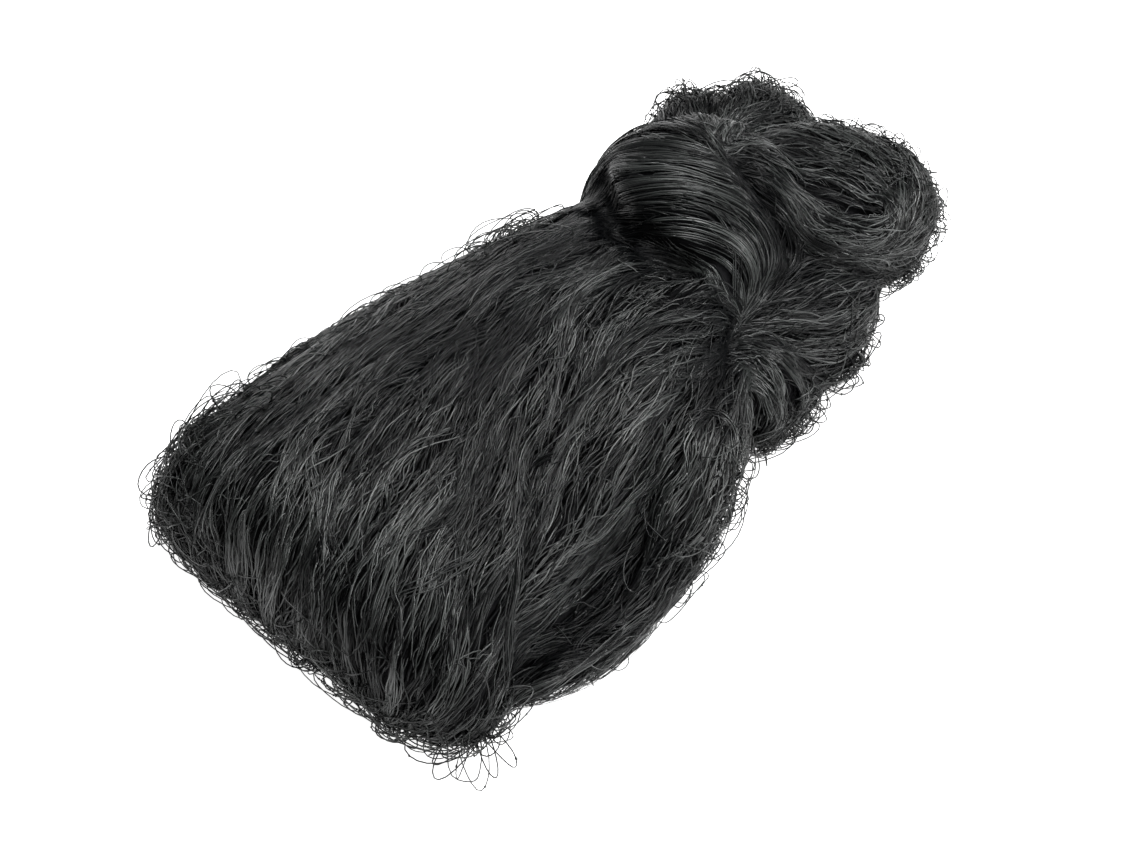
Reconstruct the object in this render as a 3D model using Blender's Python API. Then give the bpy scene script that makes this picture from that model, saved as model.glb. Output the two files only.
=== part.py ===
"""A hank of bird netting: one net gathered into a soft bundle, folded back on itself and knotted with its end.

It lies on its broad side. +X runs from the rounded fold to the knotted end, and +Z is up. The origin is on the
surface that it rests on, under the middle of the box around it. Lengths in the tables are in millimetres.
"""

import math
from collections import namedtuple

import bmesh
import bpy
from mathutils import Vector

NAME = "net_hank"
MM = 0.001

# A fan is a bundle spread out from the knot and folded over at its far edge. Each row is one strand across the
# fan, from one side (share -1) to the other (share 1): where it leaves the knot, the point that its plan curve
# bows towards, where it turns over the edge, and the height of its top at those three places.
Fan = namedtuple("Fan", "share root_x root_y bow_x bow_y tip_x tip_y root_top bow_top tip_top")
PILLOW = (
    Fan(-1.00, 62, -22, -70, -40, -213, -125, 50, 82, 68),
    Fan(-0.75, 66, -18, -74, -32, -246, -112, 64, 94, 80),
    Fan(-0.40, 74, -8, -78, -12, -257, -60, 72, 104, 88),
    Fan(0.00, 80, 12, -84, 20, -259, 6, 76, 108, 88),
    Fan(0.40, 84, 38, -84, 62, -258, 60, 74, 99, 83),
    Fan(0.75, 84, 60, -56, 107, -253, 101, 65, 84, 73),
    Fan(1.00, 82, 76, -20, 134, -230, 121, 49, 58, 52),
)
# The middle lobe is the part of the same fan that has slipped off the pillow towards the flank.
MIDDLE = (
    Fan(-1.00, 78, -50, -36, -106, -182, -108, 56, 70, 46),
    Fan(-0.50, 82, -42, -40, -96, -205, -107, 66, 92, 66),
    Fan(0.00, 84, -32, -46, -74, -219, -96, 72, 100, 74),
    Fan(0.50, 86, -18, -54, -44, -220, -78, 72, 100, 74),
    Fan(1.00, 88, 0, -60, -14, -206, -56, 60, 80, 60),
)
TUFT_LEFT = (
    Fan(-1.00, 108, 54, 124, 82, 150, 96, 50, 52, 32),
    Fan(0.00, 120, 42, 152, 74, 186, 92, 68, 80, 50),
    Fan(1.00, 132, 24, 176, 50, 221, 67, 66, 78, 46),
)
TUFT_RIGHT = (
    Fan(-1.00, 122, 46, 160, 68, 192, 88, 62, 74, 46),
    Fan(-0.30, 130, 28, 176, 46, 224, 62, 72, 86, 54),
    Fan(0.40, 132, 16, 182, 23, 230, 30, 72, 85, 52),
    Fan(1.00, 134, 6, 178, -1, 228, -3, 62, 72, 44),
)
SIDE_LOOP = (
    Fan(-1.00, 48, -64, 62, -88, 74, -104, 40, 42, 24),
    Fan(-0.40, 56, -60, 84, -90, 110, -109, 52, 62, 38),
    Fan(0.30, 64, -54, 102, -79, 138, -98, 58, 72, 46),
    Fan(1.00, 74, -44, 120, -60, 165, -80, 58, 66, 44),
)
CURL = (
    Fan(-1.00, 50, -52, 82, -76, 70, -108, 48, 56, 26),
    Fan(0.00, 42, -58, 58, -84, 46, -110, 54, 70, 36),
    Fan(1.00, 26, -62, 32, -88, 20, -104, 50, 60, 32),
)
# How far back from its edge each fan's shoulder starts to turn down.
TurnBack = namedtuple("TurnBack", "pillow middle tuft side_loop curl")
TURN_BACK = TurnBack(pillow=44, middle=32, tuft=26, side_loop=24, curl=16)
CORE_SHARE = 0.42  # how far up a fan's height its sides round off to
SUNK = 7  # how far each loft reaches below the surface before it is cut flat
SQUARENESS = 2.5  # 2 would make round shoulders, more makes them squarer

# A rope is a bundle lofted through sections along its middle line: the middle's place, and the half width and
# half height across the line.
Rope = namedtuple("Rope", "x y z wide tall")
FLANK = (
    Rope(44, -54, 36, 22, 28),
    Rope(8, -74, 36, 26, 33),
    Rope(-34, -97, 34, 29, 33),
    Rope(-68, -112, 28, 25, 28),
    Rope(-98, -119, 20, 22, 21),
    Rope(-136, -120, 18, 23, 19),
    Rope(-172, -113, 18, 22, 19),
    Rope(-206, -102, 17, 18, 17),
)
BAND = (
    Rope(98, 50, 6, 20, 12),
    Rope(92, 68, 30, 26, 17),
    Rope(96, 62, 62, 36, 19),
    Rope(101, 30, 82, 46, 20),
    Rope(106, -4, 83, 47, 20),
    Rope(104, -34, 70, 38, 20),
    Rope(88, -50, 46, 24, 18),
    Rope(74, -54, 20, 16, 14),
)
END_LOOP = (
    Rope(126, 8, 52, 28, 28),
    Rope(164, -2, 50, 29, 33),
    Rope(194, -19, 43, 26, 33),
    Rope(209, -45, 35, 20, 32),
    Rope(200, -69, 34, 19, 32),
    Rope(172, -72, 38, 22, 32),
    Rope(138, -58, 42, 20, 28),
    Rope(108, -44, 44, 18, 20),
)
LOOP_EYE = (
    Rope(116, -22, 50, 30, 32),
    Rope(156, -32, 48, 34, 33),
    Rope(184, -40, 42, 30, 30),
    Rope(203, -46, 37, 20, 28),
)

# Locks are the smaller bunches that the twine gathers into, each with a rounded back and a sharp valley beside
# it: how many there are across a fan or round a rope, how deep the valleys are, how far the locks of a fan sway
# sideways, and how many turns the locks of a rope make round it.
FanLocks = namedtuple("FanLocks", "count depth sway")
RopeLocks = namedtuple("RopeLocks", "count depth turns")
PILLOW_LOCKS = FanLocks(13, 6.0, 5.0)
MIDDLE_LOCKS = FanLocks(6, 5.0, 1.5)
LOBE_LOCKS = FanLocks(4, 4.5, 1.5)
FLANK_LOCKS = RopeLocks(6, 4.0, 0.5)
BAND_LOCKS = RopeLocks(7, 2.5, 0.12)
LOOP_LOCKS = RopeLocks(6, 3.5, 0.6)
EYE_LOCKS = RopeLocks(5, 3.0, 0.15)
STEPS_PER_LOCK = 4
SIDE_CROWDING = 0.4  # 0 spaces a fan's locks evenly, 1 crowds them into its steep sides
SWAY_ALONG, SWAY_ACROSS = 1.2, 1.1  # how many waves the sway has along and across a fan
SWELL_ALONG, SWELL_SHIFT = 1.3, 0.37  # each lock swells and thins in waves, shifted from its neighbour's
SWELL_MEAN, SWELL_RANGE = 0.75, 0.25  # how full a lock is on average, and how much that swells and thins
BACK_BLUNTNESS = 0.7  # 1 makes each lock's back a half wave, less makes it blunter
VALLEY_SHARE = 0.6  # the share of a lock's depth that lies below the bundle's own surface

FanSteps = namedtuple("FanSteps", "along around")
PLAN_STEPS = 40  # straight pieces that a fan row's plan curve is walked in
THINNEST = 0.03  # the share of a bundle's size that is left where it closes
SLIVER = 0.00001  # metres: edges this short are dissolved
CUTTER_SIZE = 1.0  # metres

NET_COLOUR = (0.013, 0.014, 0.016, 1.0)
NET_ROUGHNESS = 0.5
SHARP_ANGLE = math.radians(50)


def smooth_between(rows, where):
    """A row's values at a place from 0 to 1 along the table, on a smooth curve through the rows."""
    spans = len(rows) - 1
    place = min(max(where, 0.0), 1.0) * spans
    index = min(int(place), spans - 1)
    t = place - index
    before, start, end, after = (rows[min(max(index + step, 0), spans)] for step in (-1, 0, 1, 2))
    values = []
    for a, b, c, d in zip(before, start, end, after):
        bend = (2 * a - 5 * b + 4 * c - d) * t**2 + (3 * b - a - 3 * c + d) * t**3
        values.append(b + ((c - a) * t + bend) / 2)
    return type(start)(*values)


def bow_between(start, bow, end, t):
    """A value or point on the curve that leaves start towards bow and arrives at end from bow."""
    return start * (1 - t) ** 2 + bow * (2 * t * (1 - t)) + end * t**2


def rounded(angle):
    """Cosine and sine of an angle, pushed out towards a square with round corners."""
    power = 2 / SQUARENESS
    across = math.copysign(abs(math.cos(angle)) ** power, math.cos(angle))
    up = math.copysign(abs(math.sin(angle)) ** power, math.sin(angle))
    return across, up


def lock_relief(locks, index, share_along):
    """The rise of a lock's back or the drop of a valley, on strand number index of a bundle."""
    lock, step = divmod(index, STEPS_PER_LOCK)
    wave = math.sin(2 * math.pi * (SWELL_ALONG * share_along + SWELL_SHIFT * lock))
    back = math.sin(math.pi * step / STEPS_PER_LOCK) ** BACK_BLUNTNESS
    return locks.depth * (SWELL_MEAN + SWELL_RANGE * wave) * (back - VALLEY_SHARE)


def loft(rings, name, collection):
    """A closed mesh through rings of equally many points, with a cap on each end."""
    shape = bmesh.new()
    rows = [[shape.verts.new(Vector(point) * MM) for point in ring] for ring in rings]
    for lower, upper in zip(rows, rows[1:]):
        for i in range(len(lower)):
            shape.faces.new((lower[i - 1], lower[i], upper[i], upper[i - 1]))
    shape.faces.new(rows[0])
    shape.faces.new(rows[-1])
    bmesh.ops.triangulate(shape, faces=shape.faces[:])
    bmesh.ops.recalc_face_normals(shape, faces=shape.faces[:])
    return cutter_from(shape, name, collection)


def cutter_from(shape, name, collection):
    """An object that only serves to build the hank, drawn as wire."""
    mesh = bpy.data.meshes.new(name)
    shape.to_mesh(mesh)
    shape.free()
    body = bpy.data.objects.new(name, mesh)
    body.hide_render = True
    body.display_type = "WIRE"
    collection.objects.link(body)
    return body


def plan_curve(row):
    """A fan row's plan curve as a function from a distance along it to a point, and its whole length."""
    root = Vector((row.root_x, row.root_y))
    bow = Vector((row.bow_x, row.bow_y))
    tip = Vector((row.tip_x, row.tip_y))
    points = [bow_between(root, bow, tip, i / PLAN_STEPS) for i in range(PLAN_STEPS + 1)]
    reached = [0.0]
    for a, b in zip(points, points[1:]):
        reached.append(reached[-1] + (b - a).length)

    def walk(distance):
        i = 0
        while i < PLAN_STEPS - 1 and reached[i + 1] < distance:
            i += 1
        share = (distance - reached[i]) / (reached[i + 1] - reached[i])
        return points[i].lerp(points[i + 1], share)

    return walk, reached[-1]


def fan_ring(row, index, fullness, turn_back, locks, steps):
    """One strand of a fan as a closed ring: out along the top, round the edge and back underneath.

    fullness is 1 in the middle of the fan and falls to 0 at its sides, where top and bottom meet.
    """
    walk, length = plan_curve(row)
    straight = length - turn_back
    under = steps.along // 3
    places = [(straight * i / steps.along, 0.0, 1.0) for i in range(steps.along)]
    for i in range(steps.around + 1):
        out, up = rounded(math.pi * (0.5 - i / steps.around))
        places.append((straight + turn_back * out, out, up))
    places += [(straight * (1 - i / under), 0.0, -1.0) for i in range(1, under + 1)]
    ring = []
    for distance, out, up in places:
        t = min(distance / length, 1.0)
        top = bow_between(row.root_top, row.bow_top, row.tip_top, t)
        core = CORE_SHARE * top
        relief = lock_relief(locks, index, t) * fullness
        reach = top + relief - core if up > 0 else core + SUNK
        wave = math.sin(2 * math.pi * (SWAY_ALONG * t + SWAY_ACROSS * row.share))
        spot = walk(distance + relief * out)
        ahead = walk(distance + 1.0) - walk(distance)
        spot += Vector((-ahead.y, ahead.x)).normalized() * locks.sway * fullness * wave
        ring.append((spot.x, spot.y, core + reach * up * fullness))
    return ring


def fan_body(name, table, turn_back, locks, steps, collection):
    """A fan of strands: rings swept from one side of the table to the other, rounded off at both sides."""
    shares = [row.share for row in table]
    rings = []
    strands = locks.count * STEPS_PER_LOCK
    for i in range(strands + 1):
        even = 2 * i / strands - 1
        crowded = math.sin(even * math.pi / 2)
        share = even + SIDE_CROWDING * (crowded - even)
        fullness = max(1 - abs(share) ** SQUARENESS, 0.0) ** (1 / SQUARENESS)
        span = max(k for k in range(len(shares) - 1) if shares[k] <= share)
        inside = (share - shares[span]) / (shares[span + 1] - shares[span])
        row = smooth_between(table, (span + inside) / (len(shares) - 1))._replace(share=share)
        rings.append(fan_ring(row, i, max(fullness, THINNEST), turn_back, locks, steps))
    return loft(rings, name, collection)


def rope_body(name, table, blunt, locks, along, collection):
    """A bundle lofted along its middle line, with locks that wind slowly round it.

    blunt is the share of its length over which each end rounds off, and along is its number of steps.
    """
    shares = [0.5 - 0.5 * math.cos(math.pi * i / along) for i in range(along + 1)]
    rows = [smooth_between(table, share) for share in shares]
    middles = [Vector((row.x, row.y, row.z)) for row in rows]
    side = Vector((0, 0, 1)).cross(middles[1] - middles[0])
    around = locks.count * STEPS_PER_LOCK
    rings = []
    for i, row in enumerate(rows):
        ahead = (middles[min(i + 1, along)] - middles[max(i - 1, 0)]).normalized()
        side = (side - ahead * side.dot(ahead)).normalized()
        up = ahead.cross(side)
        near_end = min(shares[i], 1 - shares[i], blunt) / blunt
        fullness = max(math.sqrt(1 - (1 - near_end) ** 2), THINNEST)
        ring = []
        for k in range(around):
            angle = 2 * math.pi * (k / around + locks.turns * shares[i])
            relief = lock_relief(locks, k, shares[i])
            across = side * math.cos(angle) * (row.wide + relief)
            over = up * math.sin(angle) * (row.tall + relief)
            ring.append(middles[i] + (across + over) * fullness)
        rings.append(ring)
    return loft(rings, name, collection)


def join_bodies(bodies, name, collection):
    """One mesh that is the union of the bodies, without what is hidden inside it."""
    whole = bpy.data.objects.new(name, bodies[0].data.copy())
    collection.objects.link(whole)
    for body in bodies[1:]:
        union = whole.modifiers.new("join " + body.name, "BOOLEAN")
        union.operation = "UNION"
        union.solver = "EXACT"
        union.use_self = True
        union.object = body
    return whole


def cut_flat(whole, collection):
    """Cuts away what lies below the surface, so that the hank rests on a flat face."""
    shape = bmesh.new()
    bmesh.ops.create_cube(shape, size=CUTTER_SIZE)
    below = cutter_from(shape, "below_surface", collection)
    below.location = (0, 0, -CUTTER_SIZE / 2)
    cut = whole.modifiers.new("rest flat", "BOOLEAN")
    cut.operation = "DIFFERENCE"
    cut.solver = "EXACT"
    cut.object = below


def settle(whole):
    """Bakes the modifiers, keeps the outer skin and centres it over the origin."""
    bpy.context.view_layer.update()
    evaluated = whole.evaluated_get(bpy.context.evaluated_depsgraph_get())
    mesh = bpy.data.meshes.new_from_object(evaluated)
    whole.modifiers.clear()
    whole.data = mesh
    shape = bmesh.new()
    shape.from_mesh(mesh)
    bmesh.ops.dissolve_degenerate(shape, dist=SLIVER, edges=shape.edges[:])
    bmesh.ops.triangulate(shape, faces=shape.faces[:])
    keep_outer_skin(shape)
    lows = Vector(min(vert.co[i] for vert in shape.verts) for i in range(3))
    highs = Vector(max(vert.co[i] for vert in shape.verts) for i in range(3))
    middle = (lows + highs) / 2
    bmesh.ops.translate(shape, verts=shape.verts[:], vec=(-middle.x, -middle.y, -lows.z))
    shape.to_mesh(mesh)
    shape.free()
    mesh.shade_smooth()
    mesh.set_sharp_from_angle(angle=SHARP_ANGLE)


def keep_outer_skin(shape):
    """Deletes every shell but the one that holds the most, such as closed pockets between the bundles."""
    unseen = set(shape.faces)
    shells = []
    while unseen:
        shell = []
        waiting = [unseen.pop()]
        while waiting:
            face = waiting.pop()
            shell.append(face)
            beside = {other for edge in face.edges for other in edge.link_faces} & unseen
            unseen -= beside
            waiting += beside
        shells.append(shell)
    shells.sort(key=shell_volume)
    for shell in shells[:-1]:
        bmesh.ops.delete(shape, geom=shell, context="FACES")


def shell_volume(shell):
    """The signed volume inside a shell of triangles."""
    total = 0.0
    for face in shell:
        a, b, c = (vert.co for vert in face.verts)
        total += a.dot(b.cross(c)) / 6
    return total


def net_material():
    """Black polyethylene twine."""
    material = bpy.data.materials.new("black_twine")
    material.use_nodes = True
    shader = material.node_tree.nodes["Principled BSDF"]
    shader.inputs["Base Color"].default_value = NET_COLOUR
    shader.inputs["Roughness"].default_value = NET_ROUGHNESS
    shader.inputs["Metallic"].default_value = 0.0
    return material


def new_collection(name):
    collection = bpy.data.collections.new(name)
    bpy.context.scene.collection.children.link(collection)
    return collection


def main():
    for old in list(bpy.data.objects):
        bpy.data.objects.remove(old, do_unlink=True)
    parts = new_collection("bird_netting")
    cutters = new_collection("cutters")
    back = TURN_BACK
    bodies = [
        fan_body("pillow", PILLOW, back.pillow, PILLOW_LOCKS, FanSteps(13, 12), cutters),
        fan_body("middle_lobe", MIDDLE, back.middle, MIDDLE_LOCKS, FanSteps(10, 8), cutters),
        rope_body("flank", FLANK, blunt=0.12, locks=FLANK_LOCKS, along=24, collection=cutters),
        fan_body("side_loop", SIDE_LOOP, back.side_loop, LOBE_LOCKS, FanSteps(7, 7), cutters),
        fan_body("curl", CURL, back.curl, LOBE_LOCKS, FanSteps(6, 6), cutters),
        fan_body("tuft_left", TUFT_LEFT, back.tuft, LOBE_LOCKS, FanSteps(6, 7), cutters),
        fan_body("tuft_right", TUFT_RIGHT, back.tuft, LOBE_LOCKS, FanSteps(7, 7), cutters),
        rope_body("loop_eye", LOOP_EYE, blunt=0.16, locks=EYE_LOCKS, along=10, collection=cutters),
        rope_body("end_loop", END_LOOP, blunt=0.08, locks=LOOP_LOCKS, along=26, collection=cutters),
        rope_body("band", BAND, blunt=0.08, locks=BAND_LOCKS, along=24, collection=cutters),
    ]
    whole = join_bodies(bodies, NAME, parts)
    cut_flat(whole, cutters)
    settle(whole)
    whole.data.materials.append(net_material())


main()
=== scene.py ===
"""The looks of the bird-netting hank: its fine black twine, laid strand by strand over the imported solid.

Places are in the model's frame, in metres, except where a name says mm. Pairs named across and down are
pixels of the 1140 x 855 view, which are cast from the camera onto the solid.
"""
import math
from collections import namedtuple

import bmesh
import bpy
import numpy as np
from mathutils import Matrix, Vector
from mathutils.bvhtree import BVHTree
from mathutils.kdtree import KDTree

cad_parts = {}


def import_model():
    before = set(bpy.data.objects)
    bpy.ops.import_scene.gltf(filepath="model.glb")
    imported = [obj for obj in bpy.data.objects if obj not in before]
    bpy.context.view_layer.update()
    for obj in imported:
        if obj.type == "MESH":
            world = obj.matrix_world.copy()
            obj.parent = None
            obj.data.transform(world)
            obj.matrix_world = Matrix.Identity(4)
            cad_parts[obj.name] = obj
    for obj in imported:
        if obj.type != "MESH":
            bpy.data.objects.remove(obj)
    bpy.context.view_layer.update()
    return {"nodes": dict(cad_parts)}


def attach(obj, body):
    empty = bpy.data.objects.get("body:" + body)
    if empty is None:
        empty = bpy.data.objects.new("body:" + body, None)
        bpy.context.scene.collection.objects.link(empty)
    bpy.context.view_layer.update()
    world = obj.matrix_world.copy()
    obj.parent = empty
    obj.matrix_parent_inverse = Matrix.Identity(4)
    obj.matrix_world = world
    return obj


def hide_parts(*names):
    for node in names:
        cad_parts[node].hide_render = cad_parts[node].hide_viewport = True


MM = 0.001
TINY = 1e-9
SEED = 20
TONE_SEED = 25
DEEP_SEED = 30
LOOSE_SEED = 40
TOP_SEED = 50
CURL_SEED = 60

# The camera stands where the photograph was taken from.
VIEW_WIDTH, VIEW_HEIGHT = 1140, 855
VIEW_AZIMUTH = math.radians(-48)
VIEW_ELEVATION = math.radians(52)
VIEW_DISTANCE = 1.35
VIEW_TARGET = Vector((-0.0426, -0.0202, 0.040))
LENS, SENSOR = 75.0, 36.0

# The core is the evenly meshed, sunken copy of the solid that closes the gaps between the strands.
CORE_GRID = 2.8 * MM
CORE_INSET = 2.0 * MM
CORE_SMOOTH_ROUNDS = 4
CORE_SMOOTH_SHARE = 0.5

GROUND_GAP = 0.6 * MM  # the middle of no strand is lower than this

# Strokes say which way the strands run. Each has a few places, across and down, that it passes. run_on is
# how far in mm it goes on over the skin after its last place. loose is 0 where the strands are pulled
# smooth, 1 where they lie as they fell, and 2 where they are tangled.
Stroke = namedtuple("Stroke", "run_on loose places")
PILLOW_STROKES = (
    Stroke(130, 1.0, ((562, 202), (500, 236), (420, 288), (330, 352), (270, 404), (226, 456), (190, 530))),
    Stroke(130, 1.0, ((580, 234), (523, 267), (466, 306), (420, 352), (370, 402), (324, 450), (286, 510),
                      (262, 590))),
    Stroke(130, 1.0, ((600, 246), (548, 272), (500, 300), (462, 340), (436, 392), (414, 450), (386, 506),
                      (352, 566), (328, 636))),
    Stroke(130, 1.0, ((628, 254), (592, 266), (556, 290), (520, 330), (494, 386), (470, 448), (438, 508),
                      (402, 568), (374, 640))),
    Stroke(130, 1.0, ((686, 273), (640, 274), (600, 286), (574, 320), (558, 376), (536, 440), (500, 508),
                      (456, 580), (424, 660))),
    Stroke(130, 1.0, ((706, 288), (672, 300), (640, 314), (608, 336), (594, 378), (568, 444), (524, 520),
                      (482, 590), (452, 680))),
    Stroke(130, 1.0, ((722, 302), (680, 326), (640, 352), (604, 386), (574, 430), (530, 520), (490, 600),
                      (462, 690))),
    Stroke(130, 1.0, ((560, 420), (526, 450), (514, 520), (506, 600), (496, 690))),
)
MIDDLE_STROKES = (
    Stroke(60, 1.0, ((727, 308), (700, 334), (666, 380), (630, 440), (588, 500), (545, 552), (520, 600))),
    Stroke(60, 1.0, ((730, 328), (708, 378), (664, 460), (620, 520), (566, 556), (524, 604))),
    Stroke(60, 1.0, ((728, 346), (716, 400), (682, 480), (640, 528))),
)
FLANK_STROKES = (
    Stroke(40, 1.0, ((736, 366), (722, 424), (694, 490), (662, 550), (640, 594), (590, 634), (520, 690))),
    Stroke(40, 1.0, ((732, 374), (704, 450), (668, 520), (636, 566), (596, 610), (540, 660), (506, 704))),
)
LOBE_STROKES = (
    Stroke(20, 0.8, ((730, 358), (752, 352), (776, 358), (792, 376), (800, 400), (790, 422), (770, 438))),
    Stroke(20, 0.8, ((728, 364), (750, 372), (764, 390), (766, 410), (752, 432))),
    Stroke(40, 1.0, ((740, 326), (760, 304), (790, 278), (820, 262), (856, 258), (890, 268))),
    Stroke(40, 1.0, ((742, 332), (800, 296), (840, 274), (888, 276))),
    Stroke(40, 1.0, ((744, 338), (800, 312), (850, 292), (892, 290))),
    Stroke(40, 1.0, ((748, 342), (810, 332), (862, 314))),
    Stroke(40, 1.0, ((754, 346), (784, 352), (822, 360), (850, 352))),
    Stroke(40, 1.0, ((762, 350), (790, 358), (810, 380), (836, 392))),
)
LOOP_STROKES = (
    Stroke(0, 1.2, ((740, 130), (790, 128), (850, 142), (896, 162), (920, 190), (924, 222), (904, 248),
                    (868, 260), (836, 256))),
    Stroke(0, 1.2, ((746, 142), (790, 146), (840, 162), (880, 182), (904, 206), (904, 232), (882, 248),
                    (848, 250))),
    Stroke(0, 1.4, ((750, 156), (790, 174), (822, 196), (856, 206), (884, 212), (890, 226), (870, 238),
                    (846, 238))),
    Stroke(0, 1.2, ((770, 166), (792, 192), (812, 216), (838, 234), (866, 242))),
    Stroke(0, 1.0, ((760, 164), (766, 184), (784, 206), (800, 230), (814, 244), (832, 252))),
)
TUFT_STROKES = (
    Stroke(10, 0.7, ((716, 144), (690, 132), (654, 128), (618, 138))),
    Stroke(40, 1.2, ((716, 140), (704, 122), (686, 106), (668, 98))),
    Stroke(40, 1.2, ((718, 136), (718, 112), (724, 92))),
    Stroke(40, 1.2, ((728, 130), (742, 108), (752, 90))),
    Stroke(40, 1.2, ((744, 126), (776, 108), (812, 100))),
    Stroke(30, 1.0, ((756, 126), (806, 118), (842, 126))),
)
BAND_STROKES = (
    Stroke(0, 0.0, ((580, 196), (600, 164), (622, 151), (650, 145), (684, 149), (712, 158), (740, 166),
                    (776, 180), (802, 228), (786, 276), (754, 318))),
    Stroke(0, 0.0, ((578, 208), (604, 178), (636, 168), (662, 162), (692, 167), (718, 177), (744, 190),
                    (770, 216), (776, 256), (746, 318))),
    Stroke(0, 0.0, ((578, 222), (606, 200), (646, 190), (680, 185), (710, 194), (736, 206), (758, 232),
                    (764, 268), (742, 318))),
    Stroke(0, 0.0, ((590, 228), (616, 214), (648, 210), (682, 210), (712, 220), (738, 236), (752, 264),
                    (738, 318))),
    Stroke(0, 0.0, ((610, 232), (646, 228), (680, 228), (710, 237), (732, 250), (744, 274), (736, 314))),
    Stroke(0, 0.0, ((640, 238), (656, 250), (672, 262), (692, 272), (712, 286), (726, 302), (732, 318))),
)
VIEW_STROKES = (
    PILLOW_STROKES + MIDDLE_STROKES + FLANK_STROKES + LOBE_STROKES
    + LOOP_STROKES + TUFT_STROKES + BAND_STROKES
)
# Strokes on the sides that the view hides, with places x, y, z in mm.
HIDDEN_STROKES = (
    Stroke(60, 1.0, ((75, 94, 25), (5, 122, 30), (-105, 138, 30), (-195, 142, 28))),
    Stroke(20, 0.0, ((101, 96, 8), (97, 100, 34), (103, 94, 62), (109, 64, 92))),
    Stroke(20, 1.3, ((135, 96, 20), (171, 102, 24), (210, 80, 24), (241, 44, 26))),
    Stroke(20, 1.4, ((245, 14, 30), (257, -36, 30), (241, -74, 28), (205, -88, 28))),
    Stroke(20, 1.0, ((195, -92, 20), (145, -100, 20), (95, -112, 16), (45, -104, 14))),
)
# Valleys are the folds between bunches, sunk deeper than the solid has them: how deep, how wide and how
# dark, and the places across and down that each passes. Their dark is painted shade on the strands along
# them.
# Those with no depth are only zones of painted shade on the strands; where dark is below zero they are
# painted light and sheen instead.
ValleyAndPaintedShading = namedtuple("ValleyAndPaintedShading", "depth_mm width_mm dark places")
VALLEYS_AND_PAINTED_SHADING = (
    ValleyAndPaintedShading(9, 8, 0.6, ((652, 500), (640, 545), (615, 600), (575, 634), (540, 654), (508, 702))),
    ValleyAndPaintedShading(10, 9, 0.7, ((596, 176), (604, 202), (620, 228), (644, 246))),
    ValleyAndPaintedShading(0, 16, 0.8, ((600, 172), (608, 200), (624, 226))),
    ValleyAndPaintedShading(6, 6, 0.7, ((644, 246), (668, 262), (692, 276))),
    ValleyAndPaintedShading(12, 10, 0.7, ((744, 158), (764, 188), (782, 216), (798, 246))),
    ValleyAndPaintedShading(6, 6, 0.7, ((722, 296), (734, 326), (730, 352), (722, 384), (706, 424))),
    ValleyAndPaintedShading(4, 5, 0.5, ((772, 292), (806, 258), (848, 266), (886, 272))),
    ValleyAndPaintedShading(3, 6, 0.2, ((470, 310), (424, 362), (376, 414), (332, 474), (300, 540))),
    ValleyAndPaintedShading(2, 6, 0.2, ((560, 370), (530, 430), (490, 496), (446, 566), (414, 640))),
    ValleyAndPaintedShading(3, 5, 0.3, ((536, 440), (524, 520), (518, 600), (514, 690))),
    ValleyAndPaintedShading(3, 5, 0.3, ((610, 400), (580, 460), (556, 520))),
    ValleyAndPaintedShading(0, 10, 0.9, ((742, 162), (756, 186), (768, 214), (780, 244), (788, 262))),
    ValleyAndPaintedShading(0, 22, 0.7, ((640, 128), (676, 106), (730, 96), (786, 106))),
    ValleyAndPaintedShading(0, 16, -1.2, ((700, 226), (722, 246), (738, 272))),
    ValleyAndPaintedShading(0, 14, -0.4, ((650, 178), (684, 176), (720, 190))),
    ValleyAndPaintedShading(0, 15, 0.55, ((712, 310), (714, 360), (706, 400), (688, 434))),
    ValleyAndPaintedShading(0, 17, -0.8, ((684, 450), (664, 490), (646, 516))),
    ValleyAndPaintedShading(0, 14, 0.25, ((602, 470), (590, 520))),
    ValleyAndPaintedShading(0, 40, 0.45, ((566, 236), (460, 310), (380, 370), (310, 410))),
    ValleyAndPaintedShading(0, 18, 0.55, ((520, 330), (490, 400), (480, 460), (476, 520))),
    ValleyAndPaintedShading(0, 26, -1.0, ((180, 450), (220, 490), (290, 532), (350, 540))),
    ValleyAndPaintedShading(0, 16, 0.35, ((250, 596), (310, 634), (370, 664))),
)
# Painted shade and painted light: the valleys' dark is kept within these shares of the strands' tone.
PAINTED_LIGHT_RANGE = (0.1, 1.6)  # the darkest and the palest that the valleys make the strands

STROKE_SPACING = 4 * MM
SMOOTH_ROUNDS = 2
FIELD_ROUNDS = 260
FIELD_HOLD = 6.0  # how firmly the skin next to a stroke keeps that stroke's heading
FIELD_INERTIA = 0.2  # how much of its own heading each point keeps in a round
CREASE_BARRIER = 5.0  # how much less readily headings spread where the skin folds inward
LEAST_EASE = 0.02
LOOSENESS_ROUNDS = 12

# A ripple is a sum of waves in random directions, whose lengths differ by these rates.
RIPPLE_WAVES = 7
RIPPLE_RATES = (0.6, 1.5)
RIPPLE_STRETCH = 2.5

NEAR_LIMIT = CORE_GRID / 10  # corners nearer to a spot than this count no more for their nearness


def view_frame():
    """The camera's place and turn."""
    away = Vector((
        math.sin(VIEW_AZIMUTH) * math.cos(VIEW_ELEVATION),
        -math.cos(VIEW_AZIMUTH) * math.cos(VIEW_ELEVATION),
        math.sin(VIEW_ELEVATION),
    ))
    turn = away.to_track_quat("Z", "Y")
    return VIEW_TARGET + away * VIEW_DISTANCE, turn


def add_camera():
    data = bpy.data.cameras.new("camera")
    data.lens = LENS
    data.sensor_width = SENSOR
    camera = bpy.data.objects.new("camera", data)
    place, turn = view_frame()
    camera.location = place
    camera.rotation_euler = turn.to_euler()
    bpy.context.scene.collection.objects.link(camera)
    bpy.context.scene.camera = camera


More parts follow.
